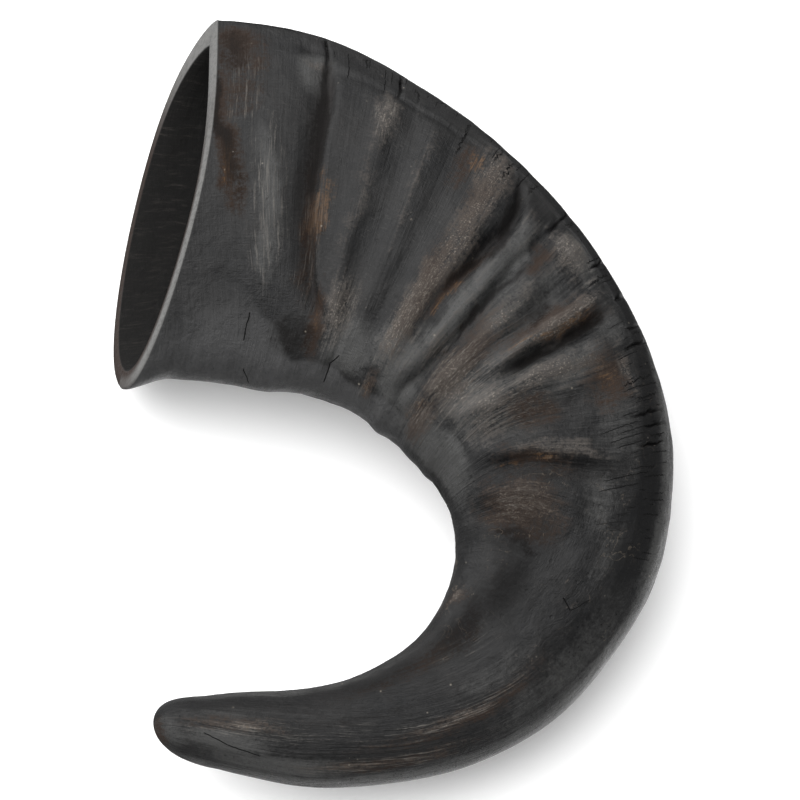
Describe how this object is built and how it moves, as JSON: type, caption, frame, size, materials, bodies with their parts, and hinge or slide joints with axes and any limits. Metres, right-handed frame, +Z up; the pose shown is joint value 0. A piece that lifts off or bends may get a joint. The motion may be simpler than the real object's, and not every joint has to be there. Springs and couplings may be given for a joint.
{
  "type": "hollow animal horn",
  "caption": "Curved, flattened black horn, hollow from its sawn oval mouth, ridged across its flat sides and keeled along the outside of the bend, narrowing to a closed rounded tip.",
  "frame": {"origin": "centre of the bounding box, on the surface that the horn lies on", "axes": "+Z up from that surface, +Y along the longest side towards the keel corner of the mouth, -X the way the mouth faces"},
  "size_m": [0.1796, 0.2564, 0.0521],
  "materials": {
    "horn_keratin": "natural horn, charcoal black with brown worn patches, satin polish"
  },
  "bodies": {
    "root": {"horn": "horn_keratin"}
  },
  "joints": []
}
